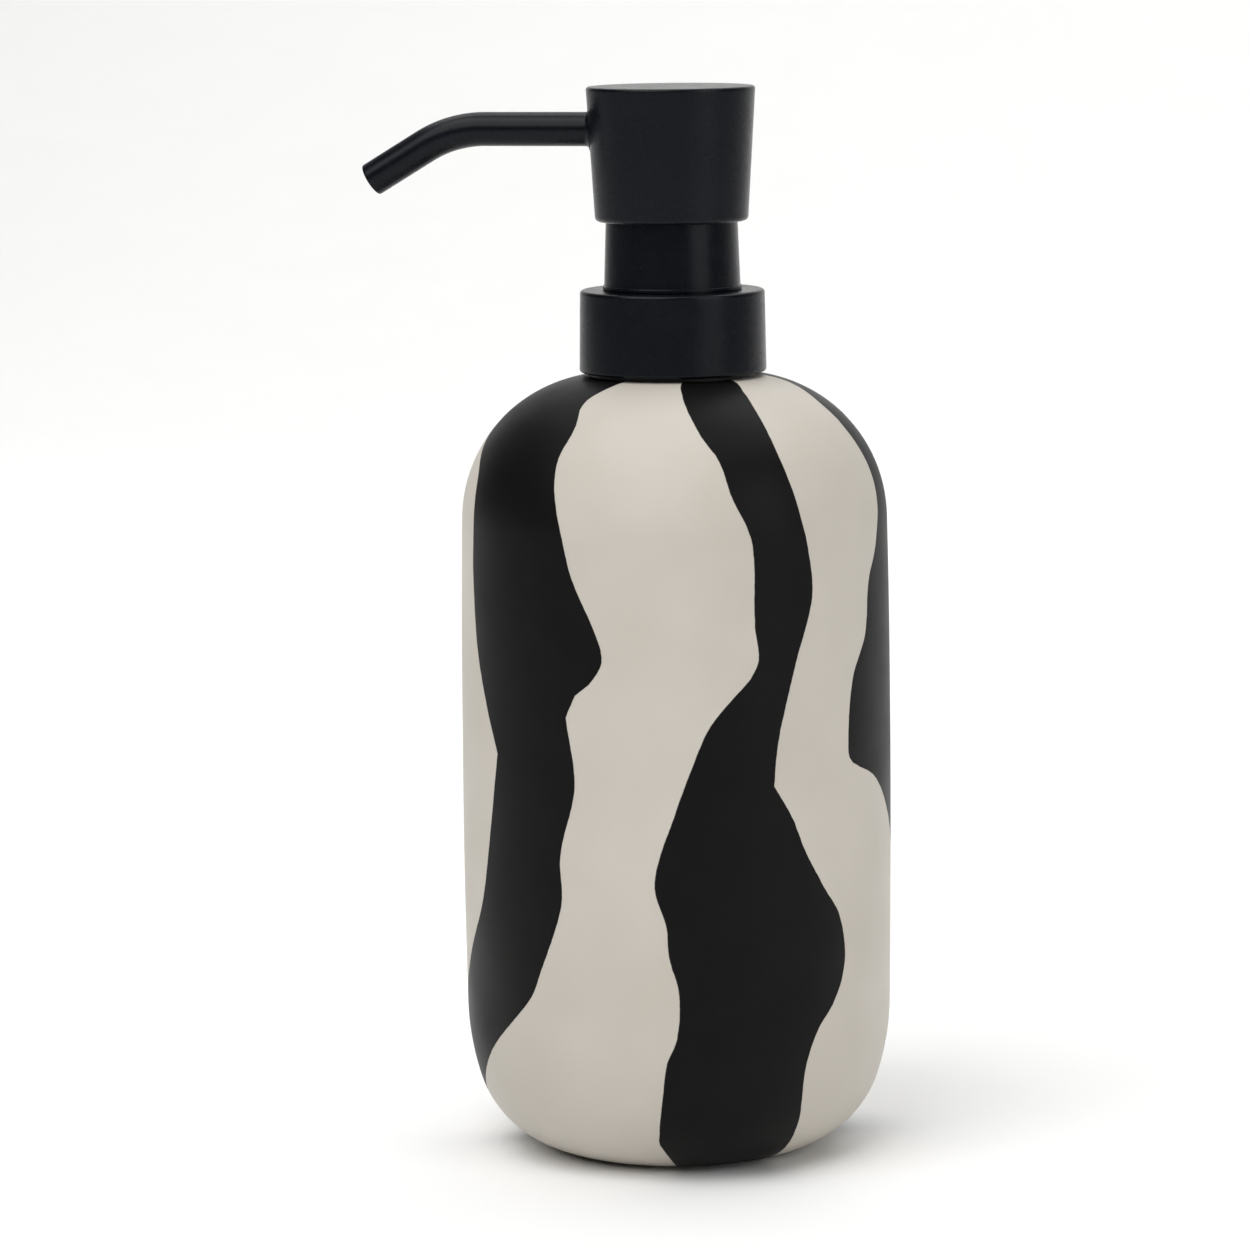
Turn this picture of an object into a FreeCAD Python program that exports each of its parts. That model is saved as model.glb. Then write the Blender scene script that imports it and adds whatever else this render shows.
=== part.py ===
"""Soap pump dispenser: a stoneware bottle with a screwed-on plastic hand pump.

Millimetres. The origin is on the bottle's axis at its foot, +Z is up and the spout points along -X.
Every sub-part is a solid of its own, written to parts/NODE.step.
"""
import FreeCAD, Part
import math
import os

Vec = FreeCAD.Vector
UP = Vec(0, 0, 1)

# ---- bottle --------------------------------------------------------------------------------------
body_radius = 38.0         # widest point, a little above half height
body_height = 137.7        # foot to the crown of the shoulder
body_wall = 3.6            # thickness of the fired clay
shoulder_round = 25.5      # radius of the shoulder
heel_upper_round = 46.3    # the heel turns in two arcs, a slow one above a quick one
heel_lower_round = 18.5
shoulder_lean = math.radians(1.16)     # how far the wall leans in where the shoulder starts
heel_lean = math.radians(0.91)         # and where the heel starts
heel_change = math.radians(17.64)      # angle at which the two heel arcs meet

# ---- clearances and fits -------------------------------------------------------------------------
bond_gap = 0.1             # cemented or glued joint, per side
snug_gap = 0.05            # pushed together and never moved
running_gap = 0.1          # sliding or turning fit, per side
face_gap = 0.2             # between flat faces that turn against each other
thread_gap = 0.3           # thread play, per side

# ---- pump core, from the stem outwards -----------------------------------------------------------
stem_radius = 3.5
stem_bore = 1.7
barrel_bore = 6.6
barrel_wall = 1.1
barrel_depth = 42.9        # flange to the floor of the barrel
stroke = 10.5              # travel of the head
piston_length = 5.0
piston_play = 1.0          # lost motion that opens the upper valve
plug_flange = 1.5
stem_shoulder = 1.0        # thickness of the ring that stops the stem at the top
stem_shoulder_step = 1.1
deck_thickness = 1.1       # flange that hangs the barrel on the neck
chaplet_skirt = 2.8
chaplet_disc = 2.0
chaplet_hub_wall = 2.9
chaplet_hub_height = 5.8
seal_height = 1.5

# ---- valve and dip tube --------------------------------------------------------------------------
ball_radius = 2.5
ball_lift = 1.5
throat_radius = 1.6
seat_depth = 2.4           # the seat is a 45 degree cone
cage_wall = 3.1
cage_roof = 1.0
cage_land = 0.62           # between the cage's ports and the spring that stands beside them
spring_wire = 0.4          # radius of the wire
spring_mean = 4.2
spring_turns = 8
tube_radius = 2.85
tube_bore = 2.05
tube_seat_depth = 12.0     # length of tube held in the housing's socket
tube_floor_gap = 3.0       # from the tube's end to the floor of the bottle
tube_slant = math.radians(35)          # of the cut across its end
socket_wall = 1.4

# ---- neck and collar -----------------------------------------------------------------------------
neck_gap = 2.2             # room for soap between the barrel and the neck
neck_wall = 2.7
thread_depth = 1.0
thread_pitch = 4.23        # six turns to the inch, as on common pump closures
thread_turns = 1.5
thread_base = 2.8          # ridge width at its root and at its crest
thread_crest = 1.4
thread_start = 2.2         # from the neck's flange to the middle of the first turn
thread_root = 0.2          # how deep the ridge is sunk in the wall that carries it
neck_height = 10.1         # above the neck's flange
spigot_depth = 7.0         # how far the neck goes down into the mouth
spigot_step = 0.7
flange_reach = 1.0         # flange outside the thread
flange_thickness = 0.5
land_margin = 0.4          # flat rim of clay outside the flange
gasket_thickness = 1.0
liner_wall = 1.15
liner_roof = 1.0
collar_wall = 1.1
collar_roof = 1.15
collar_flare = 0.23        # wider at the foot than at the top
collar_top_edge = 0.6
collar_foot_edge = 0.5

# ---- guide sleeve --------------------------------------------------------------------------------
sleeve_hold = 0.65         # how far the pump's flange reaches under the collar's roof
sleeve_wall = 1.15
sleeve_overlap = 2.0       # length of sleeve inside the head at rest
sleeve_taper = 0.035       # radius lost per millimetre of height
bead_height = 0.7
bead_reach = 0.35
bead_edge = 0.2

# ---- head and spout ------------------------------------------------------------------------------
head_gap = 0.35            # head's mouth around the sleeve
head_wall = 1.1
head_roof = 1.7
head_height = 23.45
head_flare = 1.41          # wider at the top than at the mouth
head_end_gap = 0.7         # left above the bead when the head is pressed home
head_top_edge = 0.5
head_foot_edge = 0.8
core_disc = 2.0
hub_wall = 1.6
hub_foot = 7.0             # from the head's mouth up to the hub's foot
stem_top_gap = 0.8         # from the stem's end to the level bore of the spout
spout_radius = 3.0
spout_bore = 2.1
spout_drop = 10.5          # top of the head to the underside of the spout's level stretch
spout_reach = 54.5         # pump axis to the middle of the spout's tip
spout_fall = 9.0           # tip below the level stretch
spout_bend_round = 21.5
spout_bend = math.radians(31)
spout_flare = 0.9          # reach of the head's small skirt around the spout
spout_skirt_foot = 2.16    # skirt's width over the spout at the wall
spout_skirt_rim = 0.3      # and at its rim
socket_reach = 9.6         # pump axis to the mouth of the spout's socket
socket_land = 1.75         # wall of the spout's socket
seal_section = 0.55        # radius of the O-ring's section

# ---- levels and radii that follow from those -----------------------------------------------------
barrel_radius = barrel_bore + barrel_wall
neck_bore = barrel_radius + neck_gap
neck_radius = neck_bore + neck_wall                  # root of the neck's thread
neck_crest = neck_radius + thread_depth
spigot_radius = neck_radius - spigot_step
mouth_radius = spigot_radius + bond_gap
flange_radius = neck_crest + flange_reach
liner_bore = neck_crest + thread_gap
liner_crest = neck_radius + thread_gap
liner_radius = liner_bore + liner_wall
collar_bore = liner_radius + snug_gap
collar_top_radius = collar_bore + collar_wall
collar_foot_radius = collar_top_radius + collar_flare
deck_radius = liner_crest - face_gap
collar_hole = deck_radius - sleeve_hold
sleeve_foot_radius = collar_hole - face_gap
sleeve_bore = sleeve_foot_radius - sleeve_wall
bead_radius = sleeve_foot_radius + bead_reach
head_mouth = sleeve_foot_radius + face_gap / 2 + head_gap
head_foot_radius = head_mouth + head_wall
head_top_radius = head_foot_radius + head_flare


def body_arcs(inset):
    """The bottle's outline from heel to crown, moved inwards: arcs of (centre r, z, radius, from, to)."""
    wall_round = (
        body_height
        - shoulder_round * (1 - math.sin(shoulder_lean))
        - heel_upper_round * (math.sin(heel_change) - math.sin(heel_lean))
        - heel_lower_round * (1 - math.sin(heel_change))
    ) / (math.sin(shoulder_lean) + math.sin(heel_lean))
    wall_r = body_radius - wall_round
    wall_z = (body_height - shoulder_round * (1 - math.sin(shoulder_lean))
              - wall_round * math.sin(shoulder_lean))
    shoulder_r = wall_r + (wall_round - shoulder_round) * math.cos(shoulder_lean)
    shoulder_z = wall_z + (wall_round - shoulder_round) * math.sin(shoulder_lean)
    upper_r = wall_r + (wall_round - heel_upper_round) * math.cos(heel_lean)
    upper_z = wall_z - (wall_round - heel_upper_round) * math.sin(heel_lean)
    lower_r = upper_r + (heel_upper_round - heel_lower_round) * math.cos(heel_change)
    lower_z = upper_z - (heel_upper_round - heel_lower_round) * math.sin(heel_change)
    down, up = -math.pi / 2, math.pi / 2
    return [
        (lower_r, lower_z, heel_lower_round - inset, down, -heel_change),
        (upper_r, upper_z, heel_upper_round - inset, -heel_change, -heel_lean),
        (wall_r, wall_z, wall_round - inset, -heel_lean, shoulder_lean),
        (shoulder_r, shoulder_z, shoulder_round - inset, shoulder_lean, up),
    ]


def shoulder_level(radius, inset=0.0):
    """Height of the shoulder's surface at a distance from the axis."""
    centre_r, centre_z, arc_radius, _, _ = body_arcs(inset)[-1]
    return centre_z + math.sqrt(arc_radius ** 2 - max(radius - centre_r, 0) ** 2)


land_radius = flange_radius + land_margin
land_z = shoulder_level(land_radius)                 # rim that the neck's flange stands on
flange_z = land_z + flange_thickness
neck_top = flange_z + neck_height
deck_z = neck_top + gasket_thickness + deck_thickness
roof_z = deck_z + face_gap                           # underside of the collar's liner
collar_foot = flange_z + face_gap
collar_top = roof_z + liner_roof + collar_roof
bead_z = collar_top + face_gap / 2
head_foot = bead_z + bead_height + stroke + head_end_gap
head_top = head_foot + head_height
ceiling_z = head_top - head_roof                     # underside of the head's roof
spout_z = head_top - spout_drop + spout_radius       # a thicker spout grows up, clear of the sleeve
sleeve_top = head_foot + sleeve_overlap

barrel_floor = deck_z - deck_thickness - barrel_depth
seat_z = barrel_floor - seat_depth                   # throat of the ball's seat
ball_z = seat_z - throat_radius + (ball_radius + snug_gap) * math.sqrt(2)
cage_top = ball_z + ball_radius + ball_lift + face_gap + cage_roof
socket_top = seat_z - socket_wall
skirt_foot = deck_z - chaplet_skirt
stop_top = skirt_foot - face_gap                     # the stem's ring rests just under the chaplet
stop_foot = stop_top - stem_shoulder
piston_foot = stop_foot - piston_play - running_gap - piston_length
plug_top = piston_foot - running_gap
plug_foot = plug_top - plug_flange
chaplet_top = deck_z + chaplet_disc + chaplet_hub_height
hub_z = head_foot + hub_foot
hub_bore = stem_radius + running_gap
hub_radius = hub_bore + hub_wall
stem_top = spout_z - stem_bore - stem_top_gap
socket_bore = spout_radius + snug_gap
socket_radius = socket_bore + socket_land
spout_start = hub_bore + barrel_wall                 # inner end of the spout's socket


# ---- ways of making solids -----------------------------------------------------------------------
def turned(*corners):
    """Solid of revolution about Z, from (radius, height) corners joined by straight lines."""
    points = [Vec(radius, 0, height) for radius, height in corners]
    return turned_wire(Part.makePolygon(points + points[:1]))


def turned_wire(outline):
    return Part.Face(outline).revolve(Vec(0, 0, 0), UP, 360)


def tube(outer, inner, low, high):
    return turned((inner, low), (outer, low), (outer, high), (inner, high))


def rod(radius, low, high):
    return Part.makeCylinder(radius, high - low, Vec(0, 0, low))


def level_rod(radius, near, far, height):
    """Cylinder along -X, from one distance to another."""
    return Part.makeCylinder(radius, far - near, Vec(-near, 0, height), Vec(-1, 0, 0))


def rounded(solid, radius, *rings):
    """Fillet the circular edges that lie at the given (radius, height) places."""
    edges = []
    for ring_radius, ring_z in rings:
        for edge in solid.Edges:
            curve = edge.Curve
            if (isinstance(curve, Part.Circle) and abs(curve.Radius - ring_radius) < 1e-3
                    and abs(curve.Center.z - ring_z) < 1e-3):
                edges.append(edge)
    return solid.makeFillet(radius, edges)


def helix(radius, pitch, turns, start_z):
    path = Part.makeHelix(pitch, pitch * turns, radius)
    path.translate(Vec(0, 0, start_z))
    return Part.Wire(path.Edges)


def thread_ridge(root, crest, base_width, crest_width, start_z):
    """Right-handed thread of trapezoid section; root is buried in the wall that carries it."""
    half_base, half_crest = base_width / 2, crest_width / 2
    corners = [Vec(root, 0, start_z - half_base), Vec(crest, 0, start_z - half_crest),
               Vec(crest, 0, start_z + half_crest), Vec(root, 0, start_z + half_base)]
    section = Part.makePolygon(corners + corners[:1])
    return helix(root, thread_pitch, thread_turns, start_z).makePipeShell([section], True, True)


# ---- bottle and neck -----------------------------------------------------------------------------
def body_outline(inset, bottom):
    """Half of the body's outline, closed along the axis."""
    edges = []
    for centre_r, centre_z, radius, start, end in body_arcs(inset):
        spots = [Vec(centre_r + radius * math.cos(angle), 0, centre_z + radius * math.sin(angle))
                 for angle in (start, (start + end) / 2, end)]
        edges.append(Part.Arc(*spots).toShape())
    crown = edges[-1].Vertexes[-1].Point
    heel = edges[0].Vertexes[0].Point
    for begin, finish in ((crown, Vec(0, 0, crown.z)), (Vec(0, 0, crown.z), Vec(0, 0, bottom)),
                          (Vec(0, 0, bottom), heel)):
        edges.append(Part.makeLine(begin, finish))
    return Part.Wire(edges)


def make_bottle():
    body = turned_wire(body_outline(0, 0))
    body = body.cut(turned_wire(body_outline(body_wall, body_wall)))
    mouth = rod(mouth_radius, body_height / 2, body_height + 1)
    land = tube(body_radius, 0, land_z, body_height + 1)
    return body.cut(mouth).cut(land)


def make_neck_bush():
    """Plastic neck cemented in the mouth; grooves round its spigot key the cement."""
    neck = turned((neck_bore, land_z - spigot_depth), (spigot_radius, land_z - spigot_depth),
                  (spigot_radius, land_z), (flange_radius, land_z), (flange_radius, flange_z),
                  (neck_radius, flange_z), (neck_radius, neck_top), (neck_bore, neck_top))
    groove_count, groove_width, groove_depth = 3, 0.8, 0.4
    spacing = spigot_depth / (groove_count + 1)
    for number in range(groove_count):
        middle = land_z - spacing * (number + 1)
        neck = neck.cut(tube(spigot_radius + 1, spigot_radius - groove_depth,
                             middle - groove_width / 2, middle + groove_width / 2))
    ridge = thread_ridge(neck_radius - thread_root, neck_crest, thread_base, thread_crest,
                         flange_z + thread_start)
    return neck.fuse(ridge)


def make_neck_gasket():
    return tube(neck_radius, barrel_radius + face_gap, neck_top, neck_top + gasket_thickness)


# ---- collar --------------------------------------------------------------------------------------
def make_collar_shell():
    collar = turned((collar_bore, collar_foot), (collar_foot_radius, collar_foot),
                    (collar_top_radius, collar_top), (collar_hole, collar_top),
                    (collar_hole, collar_top - collar_roof), (collar_bore, collar_top - collar_roof))
    collar = rounded(collar, min(collar_top_edge, collar_roof * 0.8), (collar_top_radius, collar_top))
    return rounded(collar, min(collar_foot_edge, collar_wall * 0.8), (collar_foot_radius, collar_foot))


def make_collar_liner():
    liner_foot = collar_foot + thread_depth / 2
    liner = turned((liner_bore, liner_foot), (liner_radius, liner_foot),
                   (liner_radius, roof_z + liner_roof), (collar_hole, roof_z + liner_roof),
                   (collar_hole, roof_z), (liner_bore, roof_z))
    # its thread lies half a turn's rise from the neck's, on the underside, with play both ways
    ridge = thread_ridge(liner_bore + thread_root, liner_crest, thread_base, thread_crest,
                         flange_z + thread_start)
    ridge.rotate(Vec(0, 0, 0), UP, 180)
    return liner.fuse(ridge)


# ---- pump unit, which hangs on the neck ----------------------------------------------------------
def make_pump_housing():
    flange_foot = deck_z - deck_thickness
    socket_radius_outer = tube_radius + snug_gap + socket_wall
    seat_radius = throat_radius + seat_depth
    socket_foot = socket_top - tube_seat_depth
    return turned(
        (barrel_bore, deck_z), (deck_radius, deck_z), (deck_radius, flange_foot),
        (barrel_radius, flange_foot), (barrel_radius, barrel_floor), (seat_radius + socket_wall, seat_z),
        (socket_radius_outer, seat_z), (socket_radius_outer, socket_foot),
        (tube_radius + snug_gap, socket_foot), (tube_radius + snug_gap, socket_top),
        (throat_radius, socket_top), (throat_radius, seat_z), (seat_radius, barrel_floor),
        (barrel_bore, barrel_floor))


def make_chaplet():
    """Plug in the top of the barrel: its skirt stops the stem and its hub guides it."""
    guide = stem_radius + running_gap
    hub = guide + chaplet_hub_wall
    seal_seat = guide + chaplet_hub_wall / 2
    disc_top = deck_z + chaplet_disc
    return turned(
        (guide, skirt_foot), (barrel_bore - snug_gap, skirt_foot), (barrel_bore - snug_gap, deck_z),
        (sleeve_bore - snug_gap, deck_z), (sleeve_bore - snug_gap, disc_top), (hub, disc_top),
        (hub, chaplet_top), (seal_seat, chaplet_top), (seal_seat, chaplet_top - seal_height),
        (guide, chaplet_top - seal_height))


def make_stem_seal():
    guide = stem_radius + running_gap
    outer = guide + chaplet_hub_wall / 2 - snug_gap
    foot = chaplet_top - seal_height
    lip_foot = foot + seal_height / 3
    return turned((guide + snug_gap, foot), (outer, foot), (outer, chaplet_top), (guide, chaplet_top),
                  (guide + snug_gap * 4, lip_foot))


def make_guide_sleeve():
    """Fixed tube that the head slides over; a bead at its foot keeps the collar down."""
    bead_top = bead_z + bead_height
    top_radius = sleeve_foot_radius - (sleeve_top - bead_top) * sleeve_taper + face_gap / 2
    sleeve = turned((sleeve_bore, deck_z), (sleeve_foot_radius, deck_z), (sleeve_foot_radius, bead_z),
                    (bead_radius, bead_z), (bead_radius, bead_top),
                    (sleeve_foot_radius + face_gap / 2, bead_top), (top_radius, sleeve_top),
                    (sleeve_bore, sleeve_top))
    edge = min(bead_edge, bead_height * 0.4, (bead_reach - face_gap / 2) * 0.8)
    return rounded(sleeve, edge, (bead_radius, bead_z), (bead_radius, bead_top))


def make_ball_cage():
    """Cap over the ball with a ring of ports; the spring stands on it."""
    outer = barrel_bore - snug_gap
    inner = outer - cage_wall
    cage = turned((inner, barrel_floor), (outer, barrel_floor), (outer, cage_top), (0, cage_top),
                  (0, cage_top - cage_roof), (inner, cage_top - cage_roof))
    port_count, port_radius = 4, 0.9
    port_ring = spring_mean - spring_wire - cage_land - port_radius
    for number in range(port_count):
        angle = 2 * math.pi * number / port_count
        port = rod(port_radius, cage_top - cage_roof - 1, cage_top + 1)
        port.translate(Vec(math.cos(angle), math.sin(angle), 0) * port_ring)
        cage = cage.cut(port)
    return cage


def make_inlet_ball():
    return Part.makeSphere(ball_radius, Vec(0, 0, ball_z))


def make_dip_tube():
    """Straight tube to the floor, its end cut aslant so that it can't seal against the clay."""
    foot = body_wall + tube_floor_gap
    length = tube(tube_radius, tube_bore, foot, socket_top - running_gap)
    blade = Part.makeBox(tube_radius * 6, tube_radius * 6, tube_radius * 2,
                         Vec(-tube_radius * 3, -tube_radius * 3, -tube_radius * 2))
    blade.rotate(Vec(0, 0, 0), Vec(0, 1, 0), math.degrees(tube_slant))
    blade.translate(Vec(0, 0, foot + tube_radius * math.tan(tube_slant)))
    return length.cut(blade)


def make_return_spring():
    low = cage_top + spring_wire
    high = plug_foot - spring_wire
    pitch = (high - low) / spring_turns
    wire = Part.Wire(Part.makeCircle(spring_wire, Vec(spring_mean, 0, low), Vec(0, 1, 0)))
    return helix(spring_mean, pitch, spring_turns, low).makePipeShell([wire], True, True)


# ---- piston and stem -----------------------------------------------------------------------------
def make_piston():
    """Ring with a sealing lip at each end and a waist between them."""
    outer = barrel_bore - running_gap
    inner = stem_radius + running_gap
    lip, waist = piston_length / 5, 0.8
    top = piston_foot + piston_length
    return turned((inner, piston_foot), (outer, piston_foot), (outer, piston_foot + lip),
                  (outer - waist, piston_foot + lip * 2), (outer - waist, top - lip * 2),
                  (outer, top - lip), (outer, top), (outer - waist, top),
                  (inner + waist, top - lip), (inner, top - lip))


def make_stem():
    """Hollow rod with a stop ring; slots near its foot let the soap in when the piston slides up."""
    ring = stem_radius + stem_shoulder_step
    stem = turned((stem_bore, plug_top), (stem_radius, plug_top), (stem_radius, stop_foot),
                  (ring, stop_foot), (ring, stop_top), (stem_radius, stop_top),
                  (stem_radius, stem_top), (stem_bore, stem_top))
    slot_radius = piston_play / 2
    slot_z = plug_top + slot_radius
    for across in (Vec(1, 0, 0), Vec(0, 1, 0)):
        slot = Part.makeCylinder(slot_radius, stem_radius * 4,
                                 Vec(0, 0, slot_z + snug_gap) - across * stem_radius * 2, across)
        stem = stem.cut(slot)
    return stem


def make_stem_plug():
    """Closes the stem's foot; the piston seats on its flange and the spring pushes under it."""
    flange = spring_mean + spring_wire * 2
    spigot = stem_bore - snug_gap
    spigot_top = plug_top + piston_length * 0.8
    plug = turned((0, plug_foot), (flange, plug_foot), (flange, plug_top), (spigot, plug_top),
                  (spigot, spigot_top), (0, spigot_top))
    for across in (Vec(1, 0, 0), Vec(0, 1, 0)):
        groove = Part.makeBox(stem_bore * 4, piston_play, spigot_top,
                              Vec(-stem_bore * 2, -piston_play / 2, plug_top))
        if across.y:
            groove.rotate(Vec(0, 0, 0), UP, 90)
        core = rod(spigot - piston_play / 2, plug_top, spigot_top * 2)
        plug = plug.cut(groove.cut(core))
    return plug


# ---- head ----------------------------------------------------------------------------------------
def head_outer(height):
    return head_foot_radius + head_flare * (height - head_foot) / head_height


def make_head_shell():
    inner_top = head_outer(ceiling_z) - head_wall
    shell = turned((head_mouth, head_foot), (head_foot_radius, head_foot), (head_top_radius, head_top),
                   (0, head_top), (0, ceiling_z), (inner_top, ceiling_z))
    shell = rounded(shell, min(head_top_edge, head_roof * 0.8), (head_top_radius, head_top))
    shell = rounded(shell, min(head_foot_edge, head_wall * 0.75), (head_foot_radius, head_foot))
    wall_near = head_outer(spout_z) - head_wall / 2
    wall_far = head_outer(spout_z) + spout_flare
    skirt = Part.makeCone(spout_radius + spout_skirt_foot, spout_radius + spout_skirt_rim,
                          wall_far - wall_near, Vec(-wall_near, 0, spout_z), Vec(-1, 0, 0))
    return shell.fuse(skirt).cut(level_rod(spout_radius + snug_gap, wall_near - 5, wall_far + 5, spout_z))


def make_head_core():
    """Inside of the head: a hub that turns on the stem, and a side socket for the spout."""
    disc_radius = head_mouth - bond_gap * 2
    core = rod(disc_radius, ceiling_z - core_disc, ceiling_z)
    core = core.fuse(rod(hub_radius, hub_z, ceiling_z))
    socket = level_rod(socket_radius, 0, socket_reach, spout_z)
    core = core.fuse(socket.common(rod(head_mouth, head_foot, ceiling_z)))
    core = core.cut(rod(hub_bore, hub_z - 1, stem_top + running_gap))
    core = core.cut(rod(stem_bore, hub_z, spout_z))
    core = core.cut(level_rod(spout_bore, 0, socket_reach, spout_z))
    core = core.cut(level_rod(socket_bore, spout_start, head_mouth, spout_z))
    seal_room = seal_section * 2 + snug_gap * 2
    return core.cut(level_rod(socket_bore + seal_room, socket_reach - seal_room, socket_reach, spout_z))


def make_spout_tube():
    """Level stretch, one bend and a straight tip, cut square."""
    tip_length = (spout_fall - spout_bend_round * (1 - math.cos(spout_bend))) / math.sin(spout_bend)
    bend_start = spout_reach - tip_length * math.cos(spout_bend) - spout_bend_round * math.sin(spout_bend)

    def on_bend(angle):
        return Vec(-bend_start - spout_bend_round * math.sin(angle), 0,
                   spout_z - spout_bend_round * (1 - math.cos(angle)))

    start = Vec(-spout_start - snug_gap, 0, spout_z)
    tip = Vec(-spout_reach, 0, spout_z - spout_fall)
    path = Part.Wire([
        Part.makeLine(start, on_bend(0)),
        Part.Arc(on_bend(0), on_bend(spout_bend / 2), on_bend(spout_bend)).toShape(),
        Part.makeLine(on_bend(spout_bend), tip),
    ])
    outer, inner = [
        path.makePipeShell([Part.Wire(Part.makeCircle(radius, start, Vec(-1, 0, 0)))], True, True)
        for radius in (spout_radius, spout_bore)
    ]
    return outer.cut(inner)


def make_spout_seal():
    middle = socket_reach - seal_section - snug_gap
    return Part.makeTorus(spout_radius + snug_gap + seal_section, seal_section,
                          Vec(-middle, 0, spout_z), Vec(-1, 0, 0))


SUBPARTS = {
    "bottle": make_bottle,
    "neck_bush": make_neck_bush,
    "neck_gasket": make_neck_gasket,
    "collar_shell": make_collar_shell,
    "collar_liner": make_collar_liner,
    "pump_housing": make_pump_housing,
    "chaplet": make_chaplet,
    "stem_seal": make_stem_seal,
    "guide_sleeve": make_guide_sleeve,
    "ball_cage": make_ball_cage,
    "inlet_ball": make_inlet_ball,
    "dip_tube": make_dip_tube,
    "return_spring": make_return_spring,
    "piston": make_piston,
    "stem": make_stem,
    "stem_plug": make_stem_plug,
    "head_shell": make_head_shell,
    "head_core": make_head_core,
    "spout_tube": make_spout_tube,
    "spout_seal": make_spout_seal,
}

os.makedirs("parts", exist_ok=True)
for node, make in SUBPARTS.items():
    solid = make().Solids[0]
    if solid.Volume < 0:
        solid.reverse()
    assert solid.isValid(), node
    solid.exportStep("parts/" + node + ".step")
    box = solid.BoundBox
    print(f"{node:14s} {solid.Volume:10.1f} mm3   z {box.ZMin:7.2f} to {box.ZMax:7.2f}   r {box.XMax:6.2f}")
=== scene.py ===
"""Looks of a stoneware soap dispenser with a satin black hand pump, built around its CAD frame.

Lengths are in millimetres unless a name says otherwise, and MM turns them to metres.
Angles round the bottle are counted in degrees from its front, -Y, towards +X.
"""
import bpy
import math
from mathutils import Matrix, Vector, noise


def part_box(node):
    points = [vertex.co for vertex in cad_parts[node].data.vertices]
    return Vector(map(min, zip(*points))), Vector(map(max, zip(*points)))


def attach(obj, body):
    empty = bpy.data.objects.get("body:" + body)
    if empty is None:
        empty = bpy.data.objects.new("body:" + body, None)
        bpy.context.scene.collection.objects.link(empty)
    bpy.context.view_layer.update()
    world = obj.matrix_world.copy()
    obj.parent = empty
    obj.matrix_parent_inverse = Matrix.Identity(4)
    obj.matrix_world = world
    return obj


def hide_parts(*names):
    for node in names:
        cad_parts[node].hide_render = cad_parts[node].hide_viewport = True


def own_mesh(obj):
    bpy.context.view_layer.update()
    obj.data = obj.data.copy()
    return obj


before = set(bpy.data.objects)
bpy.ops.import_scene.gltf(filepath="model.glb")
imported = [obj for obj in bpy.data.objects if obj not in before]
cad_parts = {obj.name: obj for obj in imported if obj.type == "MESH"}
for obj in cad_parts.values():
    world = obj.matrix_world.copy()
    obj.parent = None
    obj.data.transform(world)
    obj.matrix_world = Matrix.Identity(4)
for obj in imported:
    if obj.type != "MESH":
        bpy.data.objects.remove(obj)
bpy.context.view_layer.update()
scene = bpy.context.scene
MM = 0.001


# ---- places read from the frame ------------------------------------------------------------------
def low_high(node):
    """Lowest and highest corner of a CAD node, in millimetres."""
    low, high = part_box(node)
    return low / MM, high / MM


bottle_high = low_high("bottle")[1]
collar_low, collar_high = low_high("collar_shell")
liner_high = low_high("collar_liner")[1]
sleeve_low, sleeve_high = low_high("guide_sleeve")
chaplet_high = low_high("chaplet")[1]
bush_high = low_high("neck_bush")[1]
head_low, head_high = low_high("head_shell")
spout_high = low_high("spout_tube")[1]


# ---- camera --------------------------------------------------------------------------------------
def place_camera():
    """A long lens, a little above the head and a little to the side of the spout."""
    distance, height = 912, 223
    round_z, tilt_down = math.radians(13), math.radians(8.1)
    aim_left, roll = math.radians(0.56), math.radians(0.61)
    data = bpy.data.cameras.new("camera")
    data.sensor_width, data.lens = 36, 150
    data.clip_end = 100
    camera = bpy.data.objects.new("camera", data)
    scene.collection.objects.link(camera)
    turn = (Matrix.Rotation(round_z, 4, "Z") @ Matrix.Translation(Vector((0, -distance, height)) * MM)
            @ Matrix.Rotation(aim_left, 4, "Z") @ Matrix.Rotation(math.pi / 2 - tilt_down, 4, "X")
            @ Matrix.Rotation(-roll, 4, "Z"))
    camera.matrix_world = turn
    scene.camera = camera


# ---- making meshes -------------------------------------------------------------------------------
def arc_points(centre, radius, start, end, steps):
    """Points of an arc in the (radius, height) plane, angles in radians."""
    return [(centre[0] + radius * math.cos(start + (end - start) * step / steps),
             centre[1] + radius * math.sin(start + (end - start) * step / steps))
            for step in range(steps + 1)]


def softened(corners, hold=0.12):
    """Closed outline through (radius, height, edge) corners; each edge is the radius that rounds it.

    A holding point just past each arc keeps the flats beside it shaded flat.
    """
    steps = 6
    outline = []
    for index, (radius, height, edge) in enumerate(corners):
        here = Vector((radius, height))
        if edge == 0:
            outline.append(here)
            continue
        before = Vector(corners[index - 1][:2]) - here
        after = Vector(corners[(index + 1) % len(corners)][:2]) - here
        before_far, after_far = before.length, after.length
        before.normalize()
        after.normalize()
        half = before.angle(after) / 2
        reach = edge / math.tan(half)
        centre = here + (before + after).normalized() * (edge / math.sin(half))
        start, end = here + before * reach, here + after * reach
        if before_far > reach + 2 * hold:
            outline.append(start + before * hold)
        for step in range(steps + 1):
            spoke = (start - centre).normalized().slerp((end - centre).normalized(), step / steps)
            outline.append(centre + spoke * edge)
        if after_far > reach + 2 * hold:
            outline.append(end + after * hold)
    return [tuple(point) for point in outline]


def start_piece():
    """Deselects everything, so that the next primitive is worked on alone."""
    bpy.ops.object.select_all(action="DESELECT")


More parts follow.
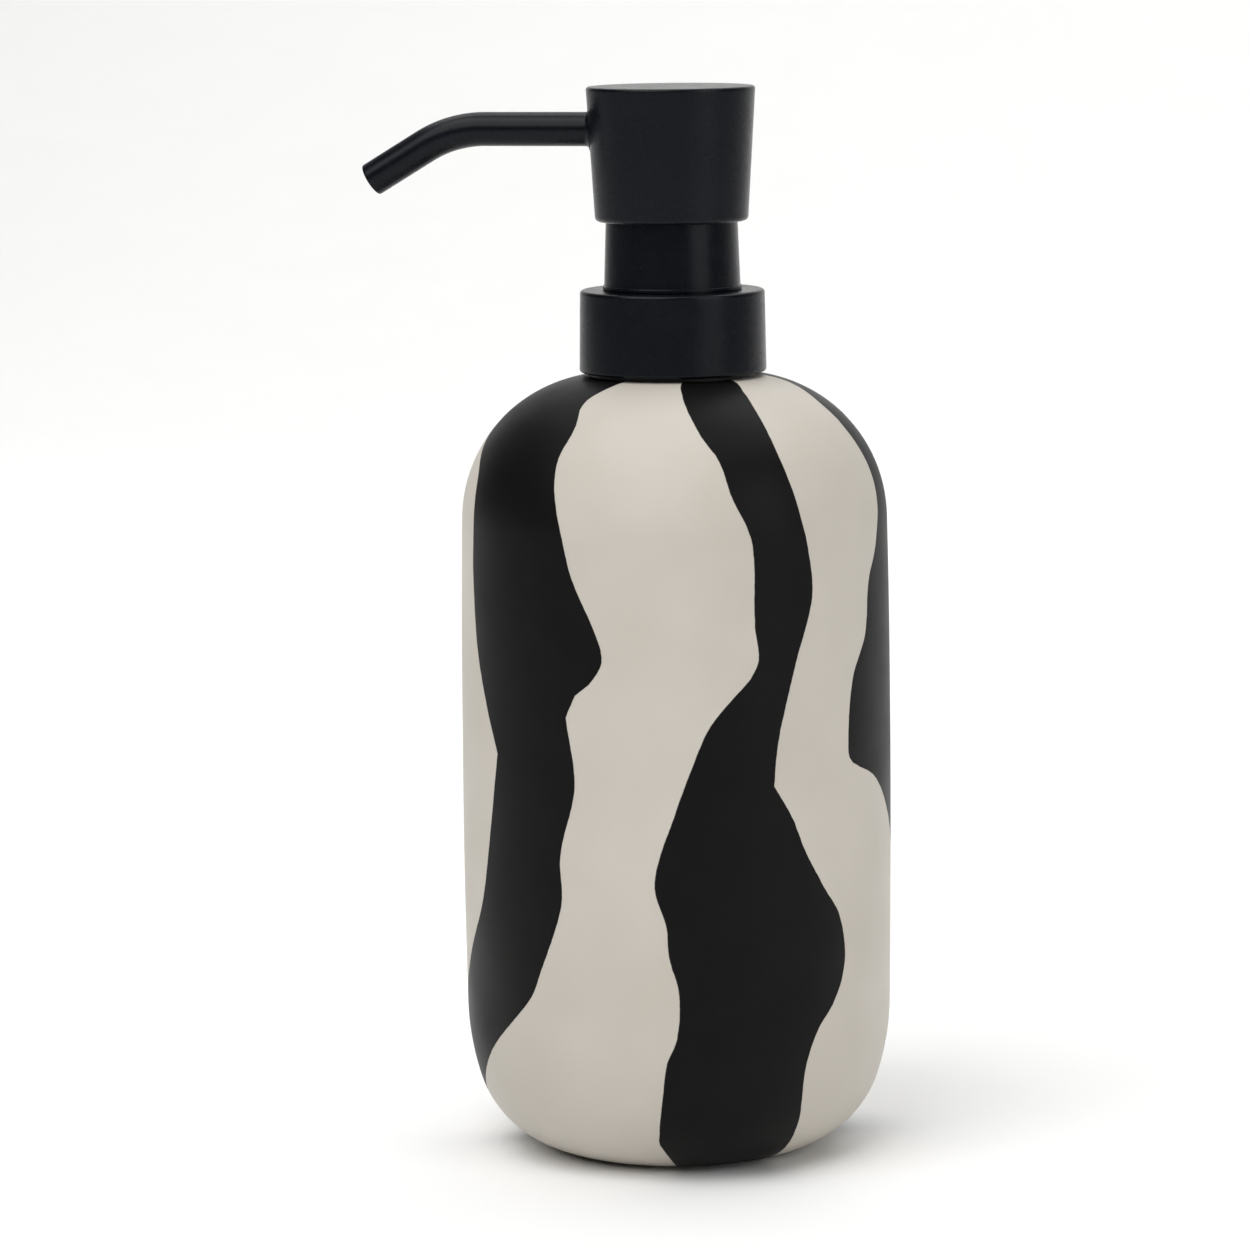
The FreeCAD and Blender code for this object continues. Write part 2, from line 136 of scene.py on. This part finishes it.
def name_piece(name):
    """Names the primitive just added and gives it back."""
    piece = bpy.context.object
    piece.name = name
    piece.data.name = name
    return piece


def set_in_place():
    """Moves the active piece's place into its mesh, so that its object stands at the origin."""
    bpy.ops.object.transform_apply(location=True, rotation=True, scale=True)


def edit():
    """Opens the active piece in edit mode with all of it selected."""
    bpy.ops.object.mode_set(mode="EDIT")
    bpy.ops.mesh.select_all(action="SELECT")


def modify(piece, kind, **settings):
    """Adds a modifier with its settings and applies it."""
    modifier = piece.modifiers.new(kind.lower(), kind)
    for name, value in settings.items():
        setattr(modifier, name, value)
    bpy.ops.object.modifier_apply(modifier=modifier.name)


def lathe(name, outline, segments):
    """Spins a closed (radius, height) outline about Z into a solid of revolution."""
    start_piece()
    bpy.ops.mesh.primitive_circle_add(vertices=len(outline), radius=MM)
    piece = name_piece(name)
    for vertex, (radius, height) in zip(piece.data.vertices, outline):
        vertex.co = Vector((radius, 0, height)) * MM
    edit()
    bpy.ops.mesh.spin(steps=segments, angle=2 * math.pi, center=(0, 0, 0), axis=(0, 0, 1))
    clean_mesh()
    return piece


def clean_mesh():
    """Closes seams and poles, drops what has no area and turns every face outwards; leaves edit mode."""
    seam_gap, shortest_edge = 0.004 * MM, 0.001 * MM
    bpy.ops.mesh.select_all(action="SELECT")
    bpy.ops.mesh.remove_doubles(threshold=seam_gap)
    bpy.ops.mesh.dissolve_degenerate(threshold=shortest_edge)
    bpy.ops.mesh.delete_loose(use_verts=True, use_edges=True, use_faces=False)
    bpy.ops.mesh.select_all(action="SELECT")
    bpy.ops.mesh.normals_make_consistent(inside=False)
    bpy.ops.object.mode_set(mode="OBJECT")


def finish_piece(piece, body, slot, material, *nodes, smooth=40):
    """Shades, colours and hands over a finished piece."""
    start_piece()
    piece.select_set(True)
    bpy.context.view_layer.objects.active = piece
    bpy.ops.object.shade_smooth_by_angle(angle=math.radians(smooth))
    piece.data.materials.clear()
    piece.data.materials.append(material)
    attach(piece, body)
    if nodes:
        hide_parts(*nodes)


# ---- colours and nodes ---------------------------------------------------------------------------
def colour(code):
    """sRGB hex to linear RGBA."""
    channels = [int(code[place:place + 2], 16) / 255 for place in (1, 3, 5)]
    return tuple(c / 12.92 if c <= 0.04045 else ((c + 0.055) / 1.055) ** 2.4 for c in channels) + (1,)


def add(tree, kind, inputs=None, **settings):
    """Adds a node with its settings; each input is a value, or a socket to link from."""
    node = tree.nodes.new(kind)
    for name, value in settings.items():
        setattr(node, name, value)
    for name, value in (inputs or {}).items():
        if isinstance(value, bpy.types.NodeSocket):
            tree.links.new(value, node.inputs[name])
        else:
            node.inputs[name].default_value = value
    return node


def new_material(name):
    """An empty node material, with its tree and the object's own coordinates."""
    material = bpy.data.materials.new(name)
    material.use_nodes = True
    tree = material.node_tree
    tree.nodes.clear()
    place = add(tree, "ShaderNodeTexCoord").outputs["Object"]
    return material, tree, place


def close_material(tree, **inputs):
    """Ends a material with a Principled shader; input names use _ for a space."""
    shader = add(tree, "ShaderNodeBsdfPrincipled",
                 {name.replace("_", " "): value for name, value in inputs.items()})
    add(tree, "ShaderNodeOutputMaterial", {"Surface": shader.outputs["BSDF"]})


def per_mm(size):
    """Noise scale, in 1/m, for features of that size in millimetres."""
    return 1 / (size * MM)


def cloud(tree, place, size, detail=2.0):
    """Soft noise whose features are about that many millimetres across."""
    inputs = {"Vector": place, "Scale": per_mm(size), "Detail": detail, "Roughness": 0.5}
    return add(tree, "ShaderNodeTexNoise", inputs).outputs["Fac"]


def between(tree, value, low, high, out_low=0.0, out_high=1.0):
    """Stretches a value that runs from low to high, and holds it at the ends."""
    return add(tree, "ShaderNodeMapRange", {"Value": value, "From Min": low, "From Max": high,
                                            "To Min": out_low, "To Max": out_high}).outputs["Result"]


def blended(tree, factor, first, second):
    """Mixes two colours, each a value or a socket; the mix node's colour sockets go by number."""
    factor_socket, first_socket, second_socket, result_socket = 0, 6, 7, 2
    inputs = {factor_socket: factor, first_socket: first, second_socket: second}
    return add(tree, "ShaderNodeMix", inputs, data_type="RGBA").outputs[result_socket]


def bumped(tree, height, depth, normal=None):
    """Bump whose full height is that many millimetres."""
    inputs = {"Height": height, "Strength": 1.0, "Distance": depth * MM}
    if normal:
        inputs["Normal"] = normal
    return add(tree, "ShaderNodeBump", inputs).outputs["Normal"]


# ---- materials -----------------------------------------------------------------------------------
def stoneware_material():
    """Glazed stoneware: a warm grey satin glaze with brushed-on black bands, bare clay under the foot.

    Glaze has IOR about 1.5, but fired this dull it gives back little light, in a wide soft highlight. It
    shows faint clouds of tone where it pooled and a shallow orange-peel surface.
    """
    material, tree, place = new_material("satin_glazed_stoneware")
    band = add(tree, "ShaderNodeAttribute", attribute_name="band_mm").outputs["Fac"]
    brush_wander, edge_blur = 0.12, 0.06
    brush = between(tree, cloud(tree, place, 1.6, 3.0), 0.0, 1.0, -brush_wander, brush_wander)
    wobbled = add(tree, "ShaderNodeMath", {0: band, 1: brush}, operation="ADD").outputs["Value"]
    is_black = between(tree, wobbled, -edge_blur, edge_blur)

    pooling = between(tree, cloud(tree, place, 22, 2.0), 0.35, 0.65)
    pale = blended(tree, pooling, colour("#C8C2B9"), colour("#C2BCB2"))
    brushing = between(tree, cloud(tree, place, 9, 3.0), 0.3, 0.7)
    black = blended(tree, brushing, colour("#0C0C0C"), colour("#100F0F"))
    glaze = blended(tree, is_black, pale, black)

    glaze_line, clay_low, clay_high = 0.3 * MM, 0.05 * MM, 0.15 * MM
    height_z = add(tree, "ShaderNodeSeparateXYZ", {"Vector": place}).outputs["Z"]
    wiped = between(tree, cloud(tree, place, 5), 0, 1, 0, glaze_line)
    rim = add(tree, "ShaderNodeMath", {0: height_z, 1: wiped}, operation="SUBTRACT").outputs["Value"]
    is_clay = between(tree, rim, clay_low, clay_high, 1.0, 0.0)
    clay = blended(tree, cloud(tree, place, 0.9, 4.0), colour("#B9A98F"), colour("#CDBFA8"))
    surface = blended(tree, is_clay, glaze, clay)

    gloss = between(tree, cloud(tree, place, 14, 2.0), 0.3, 0.7, 0.40, 0.47)
    gloss = add(tree, "ShaderNodeMath", {0: gloss, 1: is_clay}, operation="MAXIMUM").outputs["Value"]
    ripple = bumped(tree, cloud(tree, place, 7, 1.0), 0.05)
    peel = bumped(tree, cloud(tree, place, 1.3, 2.0), 0.006, ripple)
    close_material(tree, Base_Color=surface, Roughness=gloss, IOR=1.5, Normal=peel,
                   Specular_IOR_Level=0.1)
    return material


def lacquer_material():
    """Satin black lacquer over moulded ABS, as sprayed on pump heads.

    A cold near-black with a soft sheen; the spray leaves a fine grain that spreads the highlight.
    """
    material, tree, place = new_material("satin_black_lacquer")
    spray = between(tree, cloud(tree, place, 12), 0.35, 0.65)
    tone = blended(tree, spray, colour("#090C12"), colour("#0C0F15"))
    gloss = between(tree, cloud(tree, place, 3.0, 3.0), 0.3, 0.7, 0.25, 0.30)
    grain = bumped(tree, cloud(tree, place, 0.22, 2.0), 0.0012)
    close_material(tree, Base_Color=tone, Roughness=gloss, IOR=1.5, Normal=grain,
                   Specular_IOR_Level=0.15)
    return material


def uneven_gloss(tree, pattern, roughness):
    """Roughness that varies a little with a pattern."""
    swing = 0.04
    return between(tree, pattern, 0.3, 0.7, roughness - swing, roughness + swing)


def plastic_material(name, light, dark, roughness, shine=0.5):
    """Injection-moulded plastic: a fine spark-eroded grain and slow clouds of tone from the mould's flow."""
    material, tree, place = new_material(name)
    flow = between(tree, cloud(tree, place, 8), 0.35, 0.65)
    tone = blended(tree, flow, colour(light), colour(dark))
    gloss = uneven_gloss(tree, cloud(tree, place, 2.0, 3.0), roughness)
    grain = bumped(tree, cloud(tree, place, 0.25, 2.0), 0.002)
    close_material(tree, Base_Color=tone, Roughness=gloss, IOR=1.49, Specular_IOR_Level=shine,
                   Normal=grain)
    return material


def drawn_lines(tree, place, size, stretch):
    """Noise drawn out along Z, as by a die or a polishing belt; a smaller stretch gives longer lines."""
    stretched = add(tree, "ShaderNodeMapping", {"Vector": place, "Scale": (1, 1, stretch)})
    return cloud(tree, stretched.outputs["Vector"], size, 2.0)


def clear_tube_material():
    """Extruded natural polyethylene: milky, waxy, with faint draw lines along its length."""
    material, tree, place = new_material("natural_polyethylene")
    lines = drawn_lines(tree, place, 0.5, 0.02)
    tone = blended(tree, lines, colour("#D9DAD4"), colour("#E6E7E2"))
    close_material(tree, Base_Color=tone, Roughness=uneven_gloss(tree, lines, 0.34), IOR=1.51,
                   Normal=bumped(tree, lines, 0.003), Subsurface_Weight=0.3, Subsurface_Scale=2 * MM)
    return material


def steel_material(name, roughness, stretch):
    """Stainless steel, bright, with hair-fine polishing or drawing lines."""
    material, tree, place = new_material(name)
    lines = drawn_lines(tree, place, 0.15, stretch)
    tone = blended(tree, lines, colour("#C6C5C2"), colour("#D3D2CF"))
    close_material(tree, Base_Color=tone, Metallic=1.0, Roughness=uneven_gloss(tree, lines, roughness))
    return material


def rubber_material():
    """Moulded nitrile rubber: dull black with a bloom of grey dust."""
    material, tree, place = new_material("nitrile_rubber")
    bloom = cloud(tree, place, 1.5, 4.0)
    tone = blended(tree, bloom, colour("#19191A"), colour("#272728"))
    gloss = between(tree, bloom, 0.3, 0.7, 0.62, 0.78)
    grain = bumped(tree, cloud(tree, place, 0.3, 3.0), 0.006)
    close_material(tree, Base_Color=tone, Roughness=gloss, IOR=1.52, Normal=grain)
    return material


# ---- bottle --------------------------------------------------------------------------------------
body_radius = bottle_high.x
body_height = 137.7
body_wall = 3.6
mouth_radius = 12.0
shoulder_round, heel_upper_round, heel_lower_round = 25.5, 46.3, 18.5
shoulder_lean, heel_lean, heel_change = (math.radians(angle) for angle in (1.16, 0.91, 17.64))


def body_outline():
    """Outer and inner outline of the body: heel in two arcs, a slow curve up the wall, then the shoulder."""
    wall_round = (
        body_height
        - shoulder_round * (1 - math.sin(shoulder_lean))
        - heel_upper_round * (math.sin(heel_change) - math.sin(heel_lean))
        - heel_lower_round * (1 - math.sin(heel_change))
    ) / (math.sin(shoulder_lean) + math.sin(heel_lean))
    wall = Vector((body_radius - wall_round,
                   body_height - shoulder_round * (1 - math.sin(shoulder_lean))
                   - wall_round * math.sin(shoulder_lean)))

    def stepped(centre, length, angle):
        """The centre of the next arc, that far from this one along the angle where the two arcs meet."""
        return centre + length * Vector((math.cos(angle), math.sin(angle)))

    shoulder = stepped(wall, wall_round - shoulder_round, shoulder_lean)
    upper = stepped(wall, wall_round - heel_upper_round, -heel_lean)
    lower = stepped(upper, heel_upper_round - heel_lower_round, -heel_change)

    def side(inset, finest, top):
        """Foot to shoulder; arcs are cut into steps of about that length and stop at the given radius."""
        crown = math.acos((top - shoulder.x) / (shoulder_round - inset))
        points = []
        for centre, radius, start, end in (
                (lower, heel_lower_round - inset, -math.pi / 2, -heel_change),
                (upper, heel_upper_round - inset, -heel_change, -heel_lean),
                (wall, wall_round - inset, -heel_lean, shoulder_lean),
                (shoulder, shoulder_round - inset, shoulder_lean, crown)):
            steps = max(4, round(radius * abs(end - start) / finest))
            arc = arc_points(centre, radius, start, end, steps)
            points += arc[:-1]
        return points + [arc[-1]]

    clay_step, inside_step, bush_gap = 1.0, 4.0, 0.4
    outer = side(0, clay_step, bush_high.x + bush_gap)
    land = outer[-1][1]
    lip, lip_middle = 0.4, 0.1
    rim = [(mouth_radius + lip, land), (mouth_radius + lip_middle, land - lip_middle),
           (mouth_radius, land - lip)]
    inner = side(body_wall, inside_step, mouth_radius)
    heel_hold = 0.5
    foot = [(0, 0), (lower.x / 2, 0), (lower.x - heel_hold, 0)]
    return foot + outer + rim + inner[::-1] + [(0, body_wall)]


# Each band is a pair of edges, left and right, as (height, angle) turning points of its brushed outline.
# A point that ends in SHARP is a corner, where the brush was lifted and set down again.
SHARP = True
BANDS = [
    ([(138, -120), (128, -78), (121, -59), (104, -56), (92, -53), (83, -48), (74, -42, SHARP),
      (57, -47), (46, -52), (36, -63), (24, -77), (-2, -88)],
     [(138, -20), (135, -26), (131, -22), (125, -23), (113, -18), (106, -15), (97, -8.5),
      (92, -6.5), (88, -10), (86, -14, SHARP), (82, -17, SHARP), (70, -14.5), (58, -19), (49, -19),
      (37, -26), (31, -31), (20, -50), (6, -74), (-2, -82)]),
    ([(138, 22), (137, 17), (130, 21.5), (126, 26), (120, 28.5), (112, 33.5), (98, 34), (92, 35),
      (89, 33, SHARP), (82, 23), (78, 19.5), (66, 12.5), (54, 7), (46, 10), (41, 10.5), (35, 13),
      (27, 12.5), (22, 9.5, SHARP), (7, 6.5, SHARP), (-2, 14)],
     [(138, 58), (136, 48), (130, 45), (117, 48), (110, 50.5), (102, 51.5), (91, 46), (78, 40.5),
      (70, 39, SHARP), (64, 44.5), (58, 48.5), (51, 55), (46, 60.5), (39, 63), (34, 61.5),
      (30, 58, SHARP), (26, 52.5), (19, 49), (8, 50.5, SHARP), (-2, 54)]),
    ([(138, 104), (134, 88), (130, 85.5), (120, 86), (109, 81.5), (103, 76), (94, 73.5), (87, 67),
      (75, 64.5), (72, 66.5), (69, 77), (64, 86), (52, 101), (42, 108), (33, 106), (20, 97),
      (8, 107), (-2, 111)],
     [(138, 160), (120, 138), (108, 127), (98, 114), (88, 109), (76, 114), (54, 133), (44, 141),
      (34, 137), (24, 127), (12, 130), (-2, 138)]),
    ([(138, 186), (116, 162), (104, 153), (94, 149), (82, 155), (58, 165), (47, 174), (36, 171),
      (26, 162), (14, 161), (-2, 166)],
     [(138, 214), (114, 196), (102, 190), (92, 181), (86, 180), (64, 201), (50, 209), (38, 204),
      (28, 193), (16, 192), (-2, 198)]),
    ([(138, 236), (117, 222), (106, 226), (95, 233), (84, 235), (62, 223), (52, 222), (42, 229),
      (32, 235), (20, 230), (8, 225), (-2, 224)],
     [(138, 276), (125, 258), (116, 252), (95, 263), (85, 266), (65, 253), (55, 250), (35, 262),
      (12, 253), (-2, 251)]),
]


def edge_angle(edge, height):
    """Angle of a band's edge at a height: a curve through its turning points, smooth but for its corners."""
    index = max(1, min(len(edge) - 1, sum(1 for point in edge if point[0] > height)))
    high, start = edge[index - 1][:2]
    low, end = edge[index][:2]
    run = low - high

    def slope(middle):
        if SHARP in edge[middle][2:]:
            return (end - start) / run
        first, last = edge[max(middle - 1, 0)], edge[min(middle + 1, len(edge) - 1)]
        return (last[1] - first[1]) / (last[0] - first[0])

    share = min(max((height - high) / run, 0), 1)
    square, cube = share ** 2, share ** 3
    return ((2 * cube - 3 * square + 1) * start + (cube - 2 * square + share) * run * slope(index - 1)
            + (3 * square - 2 * cube) * end + (cube - square) * run * slope(index))


def band_depth(angle, height, radius):
    """Millimetres from the nearest band edge, positive inside a band."""
    depth = -math.inf
    for left, right in BANDS:
        left_angle, right_angle = edge_angle(left, height), edge_angle(right, height)
        middle = (left_angle + right_angle) / 2
        away = abs((angle - middle + 180) % 360 - 180)
        depth = max(depth, (right_angle - left_angle) / 2 - away)
    return math.radians(depth) * radius


def make_body():
    """The thrown body: outline spun, pressed in a little by hand, with its bands stored at each vertex."""
    body = lathe("stoneware_body", body_outline(), 240)
    mesh = body.data
    band = mesh.attributes.new("band_mm", "FLOAT", "POINT")
    middle = Vector((0, 0, body_height / 2))
    deepest_dent, dent_size = 0.12, 30
    dents_from, dents_to = 4, 130
    lip, clay_only = 0.2, -5.0
    outside = [vertex.normal.dot(vertex.co / MM - middle) > 0
               and vertex.co.xy.length / MM > mouth_radius + lip
               for vertex in mesh.vertices]
    for vertex, is_outside in zip(mesh.vertices, outside):
        spot = vertex.co / MM
        radius = spot.xy.length
        if not is_outside:
            band.data[vertex.index].value = clay_only
            continue
        angle = math.degrees(math.atan2(spot.x, -spot.y))
        band.data[vertex.index].value = band_depth(angle, spot.z, radius)
        if dents_from < spot.z < dents_to:
            dent = deepest_dent * (0.5 + 0.5 * noise.noise(spot / dent_size))
            vertex.co -= Vector((spot.x, spot.y, 0)) * (dent / radius * MM)
    finish_piece(body, "bottle", "stoneware_glaze", stoneware_material(), "bottle", smooth=60)


# ---- pump shells ---------------------------------------------------------------------------------
sleeve_radius = 11.85
head_play, head_wall, head_flare = 0.45, 1.1, 1.41
head_mouth = sleeve_radius + head_play
head_foot_radius = head_mouth + head_wall
spout_radius = 3.0
spout_level = spout_high.z - spout_radius


def make_collar(material):
    """Screw collar: a shade wider at its foot, its edges rolled over."""
    taper, liner_gap, sleeve_gap, roof_wall = 0.23, 0.05, 0.2, 1.15
    top_radius = collar_high.x - taper
    bore = liner_high.x + liner_gap
    hole = sleeve_radius + sleeve_gap
    roof = collar_high.z - roof_wall
    outline = softened([
        (bore, collar_low.z, 0.15), (collar_high.x, collar_low.z, 0.5),
        (top_radius, collar_high.z, 0.6), (hole, collar_high.z, 0.1), (hole, roof, 0), (bore, roof, 0)])
    finish_piece(lathe("screw_collar", outline, 160), "collar", "collar_black", material, "collar_shell")


def make_sleeve(material):
    """Guide sleeve with its bead standing on the collar."""
    chaplet_gap, collar_gap, bead_height = 0.05, 0.1, 0.7
    widening, taper = 0.1, 0.035
    bore = chaplet_high.x + chaplet_gap
    bead_foot = collar_high.z + collar_gap
    bead_top = bead_foot + bead_height
    neck = sleeve_radius + widening
    top_radius = neck - (sleeve_high.z - bead_top) * taper
    outline = softened([
        (bore, sleeve_low.z, 0), (sleeve_radius, sleeve_low.z, 0), (sleeve_radius, bead_foot, 0),
        (sleeve_high.x, bead_foot, 0.12), (sleeve_high.x, bead_top, 0.2), (neck, bead_top, 0.03),
        (top_radius, sleeve_high.z, 0.3), (bore, sleeve_high.z, 0.2)], hold=0.03)
    sleeve = lathe("sleeve_with_bead", outline, 144)
    finish_piece(sleeve, "pump_unit", "sleeve_black", material, "guide_sleeve")


def make_head(material):
    """Push head: flared cylinder, flat top with a tight edge, open below over the sleeve."""
    roof_wall = 1.7
    top_radius = head_foot_radius + head_flare
    ceiling = head_high.z - roof_wall
    outline = softened([
        (0, ceiling, 0), (top_radius - head_wall, ceiling, 0.4), (head_mouth, head_low.z, 0.15),
        (head_foot_radius, head_low.z, 0.8), (top_radius, head_high.z, 0.5), (0, head_high.z, 0)])
    finish_piece(lathe("push_head", outline, 160), "head", "head_black", material, "head_shell")


def make_spout(material):
    """Spout: a ring drawn out level, turned down through its bend and drawn on to the tip, then walled."""
    bore = 2.1
    reach, fall, bend_round, bend = 54.5, 9.0, 21.5, math.radians(31)
    tip_length = (fall - bend_round * (1 - math.cos(bend))) / math.sin(bend)
    bend_start = reach - tip_length * math.cos(bend) - bend_round * math.sin(bend)
    start_piece()
    bpy.ops.mesh.primitive_circle_add(vertices=64, radius=spout_radius * MM, rotation=(0, math.pi / 2, 0),
                                      location=Vector((spout_high.x, 0, spout_level)) * MM)
    piece = name_piece("spout")
    set_in_place()
    edit()

    def draw_out(step):
        """Extrudes the selected ring by a step."""
        bpy.ops.mesh.extrude_region_move(TRANSFORM_OT_translate={"value": step * MM})

    level_run = Vector((-(bend_start + spout_high.x), 0, 0))
    for share in (0.3, 0.7):
        draw_out(level_run * share)
    pivot = Vector((-bend_start, 0, spout_level - bend_round)) * MM
    bpy.ops.mesh.spin(steps=24, angle=bend, center=pivot, axis=(0, 1, 0))
    along = Vector((-math.cos(bend), 0, -math.sin(bend)))
    tip_hold = 0.6
    draw_out(along * (tip_length - tip_hold))
    draw_out(along * tip_hold)
    clean_mesh()
    modify(piece, "SOLIDIFY", thickness=(spout_radius - bore) * MM, offset=-1, use_even_offset=True)
    modify(piece, "BEVEL", width=0.25 * MM, segments=4, limit_method="ANGLE", angle_limit=math.radians(60))
    finish_piece(piece, "head", "spout_black", material, "spout_tube")


def make_spout_root(material):
    """Small moulded flare that runs from the head's wall out along the spout, bent to the wall's curve."""
    spout_gap, flare, buried = 0.02, 0.9, 0.8
    radius = spout_radius + spout_gap
    share_up = (spout_level - head_low.z) / (head_high.z - head_low.z)
    wall_at = head_foot_radius + head_flare * share_up
    sweep = arc_points((radius + flare, wall_at + flare), flare, -math.pi / 2, -math.pi, 10)
    outline = [(radius, wall_at - buried), (radius + flare, wall_at - buried)] + sweep
    piece = lathe("spout_root", outline, 96)
    piece.rotation_euler = (0, -math.pi / 2, 0)
    piece.location = Vector((0, 0, spout_level)) * MM
    set_in_place()
    for vertex in piece.data.vertices:
        across = vertex.co.y / MM
        vertex.co.x += (wall_at - math.sqrt(wall_at ** 2 - across ** 2)) * MM
    finish_piece(piece, "head", "head_black", material)


# ---- spring --------------------------------------------------------------------------------------
def make_spring(material):
    """Return spring: round wire wound up from the valve cage to the plug."""
    low, high = low_high("return_spring")
    wire, turns, turn_steps = 0.4, 8, 40
    pitch = (high.z - low.z - 2 * wire) / turns
    start_piece()
    bpy.ops.mesh.primitive_circle_add(vertices=16, radius=wire * MM, rotation=(math.pi / 2, 0, 0),
                                      location=Vector((high.x - wire, 0, low.z + wire)) * MM)
    piece = name_piece("wound_spring")
    set_in_place()
    modify(piece, "SCREW", axis="Z", angle=2 * math.pi, screw_offset=pitch * MM, iterations=turns,
           steps=turn_steps, render_steps=turn_steps)
    edit()
    bpy.ops.mesh.fill_holes(sides=0)
    clean_mesh()
    finish_piece(piece, "pump_unit", "spring_steel", material, "return_spring", smooth=50)
    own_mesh(piece)


# ---- floor, light and world ----------------------------------------------------------------------
def make_stage():
    """White studio sweep, in metres: a level floor that turns up through a wide cove into a wall."""
    cove_start, cove_round, spread = 1.1, 1.0, 24.0
    start_piece()
    bpy.ops.mesh.primitive_grid_add(x_subdivisions=2, y_subdivisions=1200, size=spread)
    floor = name_piece("floor")
    quarter = cove_round * math.pi / 2
    for vertex in floor.data.vertices:
        past = vertex.co.y - cove_start
        turn = min(max(past, 0), quarter) / cove_round
        above = max(past - quarter, 0)
        if past > 0:
            vertex.co.y = cove_start + cove_round * math.sin(turn)
            vertex.co.z = cove_round * (1 - math.cos(turn)) + above
    material, tree, place = new_material("white_sweep_paper")
    paper = blended(tree, cloud(tree, place, 40, 3.0), colour("#F7F7F6"), colour("#F4F4F3"))
    close_material(tree, Base_Color=paper, Roughness=0.9, Specular_IOR_Level=0.1)
    floor.data.materials.append(material)
    floor.data.shade_smooth()


def soft_box(name, watts, width, height, turn, lift, distance, aim=(0, 0, body_height * MM)):
    """Area light facing a point, in metres; turn is counted from the front towards +X, lift above level."""
    data = bpy.data.lights.new(name, "AREA")
    data.shape, data.size, data.size_y, data.energy = "RECTANGLE", width, height, watts
    light = bpy.data.objects.new(name, data)
    scene.collection.objects.link(light)
    turn, lift = math.radians(turn), math.radians(lift)
    away = Vector((math.sin(turn) * math.cos(lift), -math.cos(turn) * math.cos(lift), math.sin(lift)))
    light.location = Vector(aim) + away * distance
    light.rotation_euler = away.to_track_quat("Z", "Y").to_euler()
    light.visible_camera = False


def make_light():
    """Soft boxes round the dispenser, one on the wall behind it, and a faint even fill."""
    world = bpy.data.worlds.new("studio")
    scene.world = world
    world.use_nodes = True
    background = world.node_tree.nodes["Background"]
    background.inputs["Color"].default_value = colour("#FFFFFF")
    background.inputs["Strength"].default_value = 0.02
    soft_box("key", watts=22, width=1.6, height=1.6, turn=-28, lift=50, distance=1.6)
    soft_box("overhead", watts=21, width=2.4, height=2.4, turn=180, lift=80, distance=1.5)
    soft_box("right_strip", watts=5.7, width=0.78, height=0.9, turn=63, lift=19, distance=1.4)
    soft_box("wall_wash", watts=17, width=3.0, height=0.8, turn=0, lift=50, distance=1.6,
             aim=(0, 1.9, 0.6))
    scene.view_settings.view_transform = "Standard"


# ---- putting it together -------------------------------------------------------------------------
place_camera()
make_light()
make_stage()
make_body()
lacquer = lacquer_material()
make_collar(lacquer)
make_sleeve(lacquer)
make_head(lacquer)
make_spout(lacquer)
make_spout_root(lacquer)
make_spring(steel_material("drawn_spring_wire", 0.24, 0.2))

black_plastic = plastic_material("black_polypropylene", "#121213", "#18181A", 0.42, shine=0.2)
natural_plastic = plastic_material("natural_polypropylene", "#DCDCD6", "#E6E6E1", 0.34)
stem_plastic = plastic_material("natural_acetal", "#E3E1DA", "#EDEBE5", 0.28)
clear_tube = clear_tube_material()
rubber = rubber_material()
CAD_FINISHES = {
    black_plastic: ("neck_bush", "collar_liner", "head_core"),
    natural_plastic: ("pump_housing", "chaplet", "ball_cage", "piston"),
    stem_plastic: ("stem", "stem_plug"),
    clear_tube: ("dip_tube",),
    steel_material("polished_ball_steel", 0.12, 1.0): ("inlet_ball",),
    rubber: ("neck_gasket", "stem_seal", "spout_seal"),
}
for finish, nodes in CAD_FINISHES.items():
    for node in nodes:
        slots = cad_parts[node].data.materials
        slots.clear()
        slots.append(finish)
